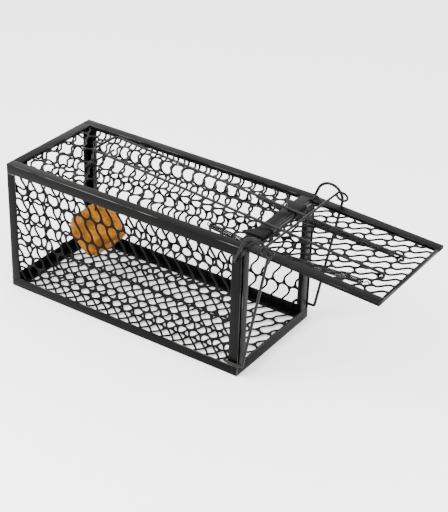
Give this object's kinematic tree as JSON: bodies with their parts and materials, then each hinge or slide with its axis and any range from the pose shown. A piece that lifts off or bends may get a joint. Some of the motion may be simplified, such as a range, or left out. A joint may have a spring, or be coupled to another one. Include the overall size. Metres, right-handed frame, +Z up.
{
  "type": "live catch trap",
  "caption": "Wire mesh cage trap with a folded steel frame, a spring-driven drop door, a set rod, a bait hook and a lock bar on guide wires.",
  "frame": {"origin": "on the ground, under the middle of the bounding box with the door set open", "axes": "+X along the cage from its rear to its door, +Y across it to the right as seen facing the door, +Z up"},
  "size_m": [0.4044, 0.1428, 0.1583],
  "materials": {
    "black_paint": "satin black paint worn bright on folds",
    "dark_wire": "dark oiled wire, half gloss",
    "spring_steel": "blackened spring wire",
    "dried_bait": "dry, rough, orange-brown"
  },
  "bodies": {
    "cage": {"bottom_rail_left": "black_paint", "bottom_rail_right": "black_paint", "top_rail_left": "black_paint", "top_rail_right": "black_paint", "rear_post_left": "black_paint", "rear_post_right": "black_paint", "front_post_left": "black_paint", "front_post_right": "black_paint", "door_jamb_left": "black_paint", "door_jamb_right": "black_paint", "rear_bottom_rail": "black_paint", "rear_top_rail": "black_paint", "threshold_rail": "black_paint", "lintel_rail": "black_paint", "left_mesh": "black_paint", "right_mesh": "black_paint", "top_mesh": "black_paint", "floor_mesh": "black_paint", "rear_mesh": "black_paint", "hinge_leaf_left": "black_paint", "hinge_leaf_right": "black_paint", "hinge_wire": "dark_wire", "guide_wire_left": "dark_wire", "guide_wire_right": "dark_wire", "trigger_pivot_wire": "dark_wire"},
    "door": {"door_strip_left": "black_paint", "door_strip_right": "black_paint", "door_end_strip": "black_paint", "door_mesh": "black_paint", "set_rod": "dark_wire", "spring_left": "spring_steel", "spring_right": "spring_steel"},
    "lock_bar": {"lock_bar": "dark_wire"},
    "trigger": {"bait_hook": "dark_wire", "bait": "dried_bait"}
  },
  "joints": [
    {"name": "door_hinge", "type": "hinge", "parent": "cage", "child": "door", "pos_m": [0.07086, 0, 0.1346], "axis": [0, 1, 0], "range_deg": [0, 86.5], "deforming": ["spring_left", "spring_right"]},
    {"name": "lock_bar_slide", "type": "slide", "parent": "cage", "child": "lock_bar", "axis": [-0.1736, 0, -0.9848], "range_m": [0, 0.0321]},
    {"name": "trigger_swing", "type": "hinge", "parent": "cage", "child": "trigger", "pos_m": [-0.13824, -0.008, 0.1361], "axis": [0, -1, 0], "range_deg": [0, 20]}
  ],
  "couplings": [
    {"joint": "lock_bar_slide", "follows": "door_hinge", "m_per_rad": 0.0212}
  ]
}
